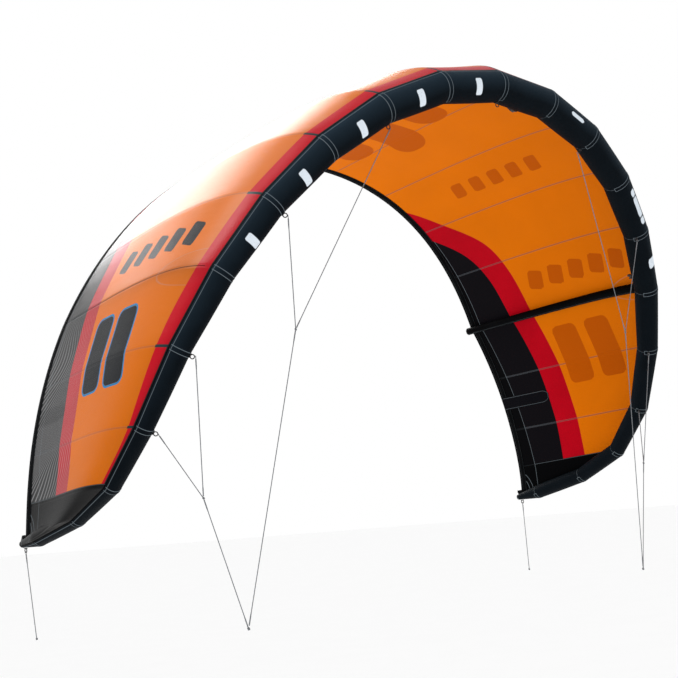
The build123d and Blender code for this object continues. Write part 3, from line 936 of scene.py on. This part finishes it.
def clear_of_tube(points):
    """Moves points near the wing tip out of the tube, to rest on it."""
    for index in range(seam_index(TIP_PANEL_SEAM - 2), seam_index(LAST_SEAM)):
        first, second = CENTRES[index], CENTRES[index + 1]
        run = second - first
        share = np.clip(((points - first) @ run) / (run @ run), 0, 1)[..., None]
        axis = first + share * run
        radius = RADII[index] * (1 - share) + RADII[index + 1] * share + CANOPY_GAP
        away = points - axis
        distance = np.linalg.norm(away, axis=-1, keepdims=True)
        lift = np.where(distance < radius, radius / np.maximum(distance, 1e-6), 1.0)
        points = axis + away * lift
    return points


def canopy_grid(columns, shares):
    """Points of the sewn cloth: raised at its seams, billowed between them."""
    points = wing_points(columns, shares)
    low = np.minimum(columns.astype(int), LAST_SEAM - 1)
    widths = PANEL_WIDTHS[low]
    within = columns - low
    from_seam = np.minimum(within, 1 - within) * widths
    ridge = SEAM_RIDGE * (1 - smooth_step(from_seam, 0.0055, 0.009))
    billow = BILLOW * np.sin(np.pi * within) * np.minimum(widths / 0.4, 1)
    swell = smooth_step(shares, 0.0, 0.16) * (1 - shares**2)
    lift = ridge[:, None] + billow[:, None] * swell[None, :]
    return clear_of_tube(points + grid_normals(points) * lift[..., None])


def least(*distances):
    """Distance to the nearest of several shapes, at most 1."""
    return np.minimum.reduce([np.full(distances[0].shape, 1.0), *distances])


def make_canopy():
    right = panel_columns()
    shares = np.concatenate([[0, 0.004, 0.009], np.linspace(0.018, 0.985, 78), [0.993, 1.0]])
    points = canopy_grid(right, shares)
    seams = np.concatenate([-right[:0:-1], right])[:, None] * np.ones(len(shares))
    points = np.concatenate([points[:0:-1] * MIRROR, points])
    canopy = grid_object("canopy", points, canopy_material())
    wing = np.abs(seams)

    chord_steps = np.linalg.norm(np.diff(points, axis=1), axis=2)
    front = np.concatenate([np.zeros((len(seams), 1)), np.cumsum(chord_steps, axis=1)], axis=1)
    rear = front[:, -1:] - front
    across = along(points[:, len(shares) // 2])[:, None] * np.ones(len(shares))

    step = 0.05
    beside = trailing_point(np.minimum(wing + step, LAST_SEAM))
    rear_width = np.linalg.norm(beside - trailing_point(wing), axis=-1) / step
    front_width = np.interp(wing, RIGHT_SEAMS[:-1] + 0.5, JOIN_WIDTHS)
    width = front_width * (1 - shares) + np.minimum(rear_width, front_width * 1.3) * shares
    nearest = np.rint(np.clip(wing, 0, TIP_PANEL_SEAM))
    crown = CROWN * np.sin(np.pi * (wing % 1)) * (wing < TIP_PANEL_SEAM - 1)
    corner = TIP_CORNER * np.where(seams[..., None] < 0, MIRROR, 1.0)

    # half-oval patches at the front end of the struts
    sides = [(wing - strut) * width for strut in (0, STRUT_SEAM)]
    patches = [(np.hypot(side / STRUT_PATCH[0], front / STRUT_PATCH[1]) - 1) * 0.10 for side in sides]

    # plain printed blocks where the real kite has its graphics
    span = wing * MARK_SCALE
    badge_span = seams * BADGE_SCALE
    marks, small = [], []
    for count in range(5):
        place = MARK_PLACE[1] + MARK_STEP * count
        leaning = span + (front - place) * MARK_LEAN
        marks.append(round_box(leaning, front, (MARK_PLACE[0], place), *MARK_SIZE))
        place = SMALL_PLACE[1] + SMALL_STEP * count
        small.append(round_box(span, front, (SMALL_PLACE[0], place), *SMALL_SIZE))
    for place in BAR_PLACES:
        marks.append(round_box(span, rear, (BAR_SPAN, place), *BAR_SIZE))
    for place, half in BADGE_BARS:
        small.append(round_box(badge_span, front, (0.0, place), (half, BADGE_HALF), BADGE_CORNER))

    set_places(canopy, "cloth", across, front)
    numbers = {
        "seam_way": np.abs(wing - nearest) * width,
        "front_way": front,
        "rear_way": rear,
        "wing_way": wing,
        "tip_way": (wing - (TIP_PANEL_SEAM - 0.07)) * width,
        "stripe_way": curve_through(STRIPE_FRONT, wing) - rear,
        "field_way": curve_through(STRIPE_REAR, wing) - rear,
        "strip_width": (STRIP_WIDTH + crown) * (1 - smooth_step(wing, 5.4, 7.5) * 0.75),
        "tab_way": np.where(np.abs(wing - STRUT_SEAM) < 0.5, 0.0, 1.0) * (wing < 7.5),
        "hem_width": np.interp(wing, (3.0, 5.0, 8.0), (0.045, 0.072, 0.135)),
        "patch_way": least(*patches),
        "rim_way": (wing > 5.05).astype(float),
        "mark_way": least(*marks),
        "badge_way": np.where(seams < -1.4, 1.0, least(*small)),
        # circles of stitches round the corner where the rear line pulls
        "arc_way": np.linalg.norm(points - corner, axis=2) - CORNER_ARC,
    }
    for name, values in numbers.items():
        set_numbers(canopy, name, values)
    return canopy


canopy = make_canopy()
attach(canopy, "root")
panel_nodes = [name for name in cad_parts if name.startswith("canopy_")]
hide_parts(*panel_nodes)


def make_hem_tape():
    """The folded tape over the trailing edge: its outline, in ways back and out, goes along the edge."""
    points = wing_points(np.linspace(0, LAST_SEAM - 0.35, 260), [0.985, 1.0])
    edge = points[:, 1]
    back = unit(edge - points[:, 0])
    normal = unit(np.cross(back, np.gradient(edge, axis=0)))
    profile = np.array(HEM_OUTER + [(x, -y) for x, y in HEM_OUTER[-2::-1]] + HEM_INNER)
    ways_back, ways_out = profile[None, :, :1], profile[None, :, 1:]
    loops = edge[:, None] + ways_back * back[:, None] + ways_out * normal[:, None]
    whole = np.concatenate([loops[:0:-1] * MIRROR, loops])
    tape = grid_object("trailing_edge_tape", whole, tape_material(), wrap=True, caps=True)
    across = along(whole[:, 4])[:, None] * np.ones(len(profile))
    set_places(tape, "cloth", across, np.ones((len(whole), 1)) * (profile[:, 0] + HEM_WIDTH))
    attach(tape, "root")
    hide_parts("trailing_edge_band")
    return tape


POCKET_SEAM = 6.49
POCKET_LENGTH = 0.290
POCKET_HALF = 0.046
POCKET_LIFT = 0.0022
POCKET_OVERHANG = 0.002
POCKET_CHORD = 1.30
POCKET_PANEL = 0.40
POCKET_COLUMNS = 9


def make_batten_pocket(side):
    """A long patch with a round front end, sewn under the trailing edge for a short batten."""
    rings = []
    rims = []
    for way in np.linspace(0, 1, 40):
        rear = POCKET_LENGTH * (1 - way) - POCKET_OVERHANG
        reach = POCKET_HALF
        if rear > POCKET_LENGTH - POCKET_HALF:
            reach = np.sqrt(max(POCKET_HALF**2 - (rear - POCKET_LENGTH + POCKET_HALF) ** 2, 1e-8))
        across = np.linspace(-reach, reach, POCKET_COLUMNS)
        share = 1 - rear / POCKET_CHORD
        points = canopy_grid(POCKET_SEAM + across / POCKET_PANEL, np.array([share - 0.002, share]))
        ahead = unit(points[:, 1] - points[:, 0])
        down = -unit(np.cross(np.gradient(points[:, 1], axis=0), ahead)) * POCKET_LIFT
        rings.append(np.concatenate([points[:, 1] + down, (points[:, 1] + down * 0.72)[::-1]]))
        rim = np.minimum(reach - np.abs(across), max(POCKET_LENGTH - rear, 0))
        rims.append(np.concatenate([rim, rim[::-1]]))
    rings = mirrored(rings, side)
    name = f"batten_pocket_lower_{side}_{int(POCKET_SEAM * 10)}"
    pocket = grid_object(name, rings, pocket_cloth, wrap=True, caps=True)
    set_places(pocket, "cloth", rings[..., 0], rings[..., 1])
    set_numbers(pocket, "rim_way", np.array(rims))
    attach(pocket, "root")
    return pocket


pocket_cloth = pocket_material()
hem = make_hem_tape()
pockets = [make_batten_pocket(side) for side in ("right", "left")]

# ---- leading edge tube
STRAP_END_ANGLE = 252.0
MARK_ANGLE = 192.0
TUBE_SWELL = 0.0011
STRAP_LIFT = 0.0010
GROOVE = 0.0006
FOLD = 0.0011
RING_SIDES = 112


def ring_profile(width):
    """Ways along one section of the tube, close together at its two seams."""
    edge = np.array([0.0, 0.003, 0.007, 0.012, 0.015, 0.022, 0.032])
    edge = edge[edge < width * 0.35]
    count = max(int((width - 2 * edge[-1]) / 0.028), 1)
    middle = np.linspace(edge[-1], width - edge[-1], count + 1)[1:-1]
    return np.concatenate([edge, middle, (width - edge[::-1])[:-1]])


def ring_lift(nearest, share, width, turn, phase):
    """How far the cloth stands off the plain tube: swell, strap, seam groove and small folds."""
    swell = TUBE_SWELL * np.sin(np.pi * share) * min(width / 0.4, 1)
    on_strap = np.degrees(turn) < STRAP_END_ANGLE
    strap = STRAP_LIFT * (1 - smooth_step(np.array(nearest), 0.012, 0.015)) * on_strap
    groove = -GROOVE * np.exp(-((nearest / 0.004) ** 2))
    inner = 0.5 - 0.5 * np.sin(turn)
    waves = np.sin(turn * 17 + phase) * (nearest > 0.002)
    folds = FOLD * np.exp(-nearest / 0.03) * inner**3 * waves
    return swell + strap + groove + folds


def make_leading_edge():
    turn = full_turn(RING_SIDES)
    spokes = REARWARD[:, None] * np.cos(turn)[None, :, None] + UPWARD[:, None] * np.sin(turn)[None, :, None]
    circles = CENTRES[:, None] + RADII[:, None, None] * spokes
    rings, down = [], []
    numbers = {"seam_way": [], "join_way": [], "strap_way": [], "mark_way": []}
    degrees = np.degrees(turn)
    length_so_far = 0.0
    last = 2 * LAST_SEAM - 1
    for index in range(2 * LAST_SEAM):
        width = np.linalg.norm(CENTRES[index + 1] - CENTRES[index])
        ways = ring_profile(width)
        if index == last:
            ways = np.append(ways, width)
        for way in ways:
            share = way / width
            values = (circles, CENTRES, RADII)
            ring, centre, radius = (v[index] * (1 - share) + v[index + 1] * share for v in values)
            nearest = min(way, width - way)
            at_end = (index == 0 and way < width - way) or (index == last and width - way < way)
            lift = ring_lift(nearest, share, width, turn, index * 2.1)
            if at_end and nearest < 0.002:
                lift = np.zeros_like(turn)
            rings.append(ring + unit(ring - centre) * lift[:, None])
            down.append(np.full(RING_SIDES, length_so_far + way))
            numbers["seam_way"].append(np.full(RING_SIDES, nearest))
            numbers["join_way"].append((degrees - JOIN_ANGLE) * np.pi / 180 * radius)
            numbers["strap_way"].append((degrees - STRAP_END_ANGLE) * np.pi / 180 * radius)
            around = (degrees - MARK_ANGLE) * np.pi / 180 * radius
            numbers["mark_way"].append(tube_marks(index - LAST_SEAM, way - width / 2, around))
        length_so_far += width
    rings = np.array(rings)
    tube = grid_object("leading_edge_tube", rings[:, ::-1], tube_material(), wrap=True, caps=True)
    around = turn[None, :] * np.full((len(rings), 1), ROOT_RADIUS)
    set_places(tube, "cloth", around[:, ::-1], np.array(down))
    for name, values in numbers.items():
        set_numbers(tube, name, np.array(values)[:, ::-1])
    return tube


# Plain bars on the front of the tube, by section: centre, half sizes, corner radius.
TUBE_MARKS = {section_number: [((0.0, 0.0), (0.020, 0.046), 0.012)] for section_number in range(-5, 0)}
TUBE_MARKS[1] = [((0.0, -0.02), (0.060, 0.012), 0.004)]
TUBE_MARKS[3] = [((-0.11 + 0.055 * step, -0.02), (0.017, 0.020), 0.005) for step in range(5)]
TUBE_MARKS[4] = [((place, -0.02), (0.016, 0.032), 0.008) for place in (-0.024, 0.024)]


def tube_marks(section_number, way, around):
    boxes = TUBE_MARKS.get(section_number, [])
    return least(np.full(len(around), 1.0), *(round_box(way, around, *box) for box in boxes))


leading_edge = make_leading_edge()
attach(leading_edge, "root")
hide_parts("leading_edge_sleeve_inner_right", "leading_edge_sleeve_inner_left",
            "leading_edge_sleeve_outer_right", "leading_edge_sleeve_outer_left")


# ---- struts
STRUT_SIDES = 56
STRUT_CLOTH_RADIUS = 0.027
STRUT_SEAM_ANGLE = 305
END_STEPS = np.array([[0.5], [0.9], [1.0]])
END_RADII = np.array([[1.0], [0.985], [0.93]])
WEB_HALF = 0.0009
WEB_FOOT = 0.0075
WEB_FOOT_LIFT = 0.0006


def strut_axis(seam, share):
    """A strut's centre line, with the ways back along it, out to the canopy and across, and its radius."""
    points = section(np.array(float(seam)))
    first, second, third, fourth = points
    share = np.asarray(share, float)[:, None]
    rest = 1 - share
    bends = (second - first, third - second, fourth - third)
    slope = unit(bends[0] * rest**2 + bends[1] * (2 * rest * share) + bends[2] * share**2)
    side = unit(np.cross(fourth - first, outward(np.array(float(seam)))))
    out = np.cross(side, slope)
    radius = STRUT_FRONT_RADIUS + (STRUT_REAR_RADIUS - STRUT_FRONT_RADIUS) * share
    centre = bezier(points, share) - out * (radius + STRUT_GAP)
    return centre, slope, out, np.broadcast_to(side, out.shape), radius


def strut_grid(name, rings, side):
    """A wrapped grid of rings, mirrored and wound the other way for the left wing."""
    rings = rings * MIRROR if side == "left" else rings[:, ::-1]
    piece = grid_object(name, rings, strut_cloth, wrap=True, caps=True)
    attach(piece, "root")
    return piece


def make_strut(name, seam, side):
    shares = np.concatenate([np.linspace(0.0, 0.10, 26), np.linspace(0.11, 1.0, 70)])
    centre, slope, out, across, radius = strut_axis(seam, shares)
    centre = np.concatenate([centre, centre[-1:] + slope[-1:] * STRUT_OVERHANG * END_STEPS])
    radius = np.concatenate([radius, radius[-1:] * END_RADII])
    out, across = (np.concatenate([v, np.repeat(v[-1:], len(END_STEPS), axis=0)]) for v in (out, across))
    turn = full_turn(STRUT_SIDES)
    way = along(centre)[:, None]
    gather = 0.0011 * np.exp(-way / 0.10) * np.sin(way * 290 + 1.3 * np.sin(turn * 3)[None, :])
    ripple = 0.0004 * np.sin(way * 61 + np.sin(turn * 2)[None, :] * 2)
    spoke = across[:, None] * np.cos(turn)[None, :, None] + out[:, None] * np.sin(turn)[None, :, None]
    under = np.clip(0.4 - np.sin(turn), 0, 1)[None, :]
    rings = centre[:, None] + spoke * (radius + (gather + ripple) * under)[..., None]
    strut = strut_grid(name, rings, side)
    around = np.ones((len(rings), 1)) * turn[None, :]
    if side != "left":
        around = around[:, ::-1]
    set_places(strut, "cloth", around * STRUT_CLOTH_RADIUS, way * np.ones(len(turn)))
    set_numbers(strut, "line_way", (around - np.radians(STRUT_SEAM_ANGLE)) * STRUT_CLOTH_RADIUS)
    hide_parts(f"strut_sleeve_{side}")


def make_strut_web(name, seam, side):
    """The narrow flap that sews a strut to the canopy."""
    centre, _, out, across, radius = strut_axis(seam, np.linspace(0.05, 0.985, 90))
    low = centre + out * (radius - 0.0008)
    high = centre + out * (radius + STRUT_GAP - 0.0006)
    edge = low + out * WEB_FOOT_LIFT
    half, foot = across * WEB_HALF, across * WEB_FOOT
    corners = np.stack([low - foot, edge - half, high - half, high + half, edge + half, low + foot], axis=1)
    web = strut_grid(name, corners, side)
    corners = mirrored(corners, side)
    set_places(web, "cloth", corners[..., 0], corners[..., 1])
    set_numbers(web, "line_way", np.full(corners.shape[:2], 1.0))


strut_cloth = strut_material()
for side, seam in (("right", STRUT_SEAM), ("left", STRUT_SEAM), ("centre", 0)):
    make_strut(f"strut_{side}", seam, side)
    make_strut_web(f"strut_web_{side}", seam, side)

# ---- carried CAD nodes
finishes = {
    "bladder": film_material(),
    "loop": webbing_material(),
    "hoses": hose_material(),
    "plastic": plastic_material(),
}
finishes["caps"] = finishes["loop"]
for name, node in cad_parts.items():
    found = [finish for key, finish in finishes.items() if key in name]
    node.data.materials.clear()
    node.data.materials.append(found[0] if found else finishes["plastic"])

# ---- floor and light
FLOOR_DROP = 6.0
FLOOR_REACH = 400.0
floor_height = cad_box[0].z - FLOOR_DROP
corners = [(x * FLOOR_REACH, y * FLOOR_REACH, floor_height) for x, y in ((-1, -1), (1, -1), (1, 1), (-1, 1))]
floor = mesh_object("floor", corners, [(0, 1, 2, 3)], floor_material(), smooth=False)


# Place, target, size, power and colour of each light.
LIGHTS = {
    "key": ((-5.5, 5.0, 7.0), (-0.6, 0.9, -0.4), 2.5, 700, (1.0, 0.99, 0.97)),
    "back": ((3.8, 10.5, 4.6), (-1.2, 0.9, -0.4), 7.0, 1450, (1.0, 0.99, 0.98)),
    "front": ((-4.0, -8.5, 0.5), (0.6, 0.8, -1.2), 4.0, 140, (0.97, 0.98, 1.0)),
}


def area_light(name, place, target, size, power, colour):
    data = bpy.data.lights.new(name, "AREA")
    data.shape = "DISK"
    data.size = size
    data.energy = power
    data.color = colour
    light = add_object(name, data)
    light.location = place
    light.rotation_mode = "QUATERNION"
    light.rotation_quaternion = (Vector(target) - Vector(place)).to_track_quat("-Z", "Y")


for name, values in LIGHTS.items():
    area_light(name, *values)

world = bpy.data.worlds.new("studio")
world.use_nodes = True
sky = world.node_tree.nodes["Background"].inputs
sky["Color"].default_value = (1.0, 1.0, 1.0, 1.0)
sky["Strength"].default_value = 1.0
bpy.context.scene.world = world
bpy.context.scene.view_settings.view_transform = "Standard"
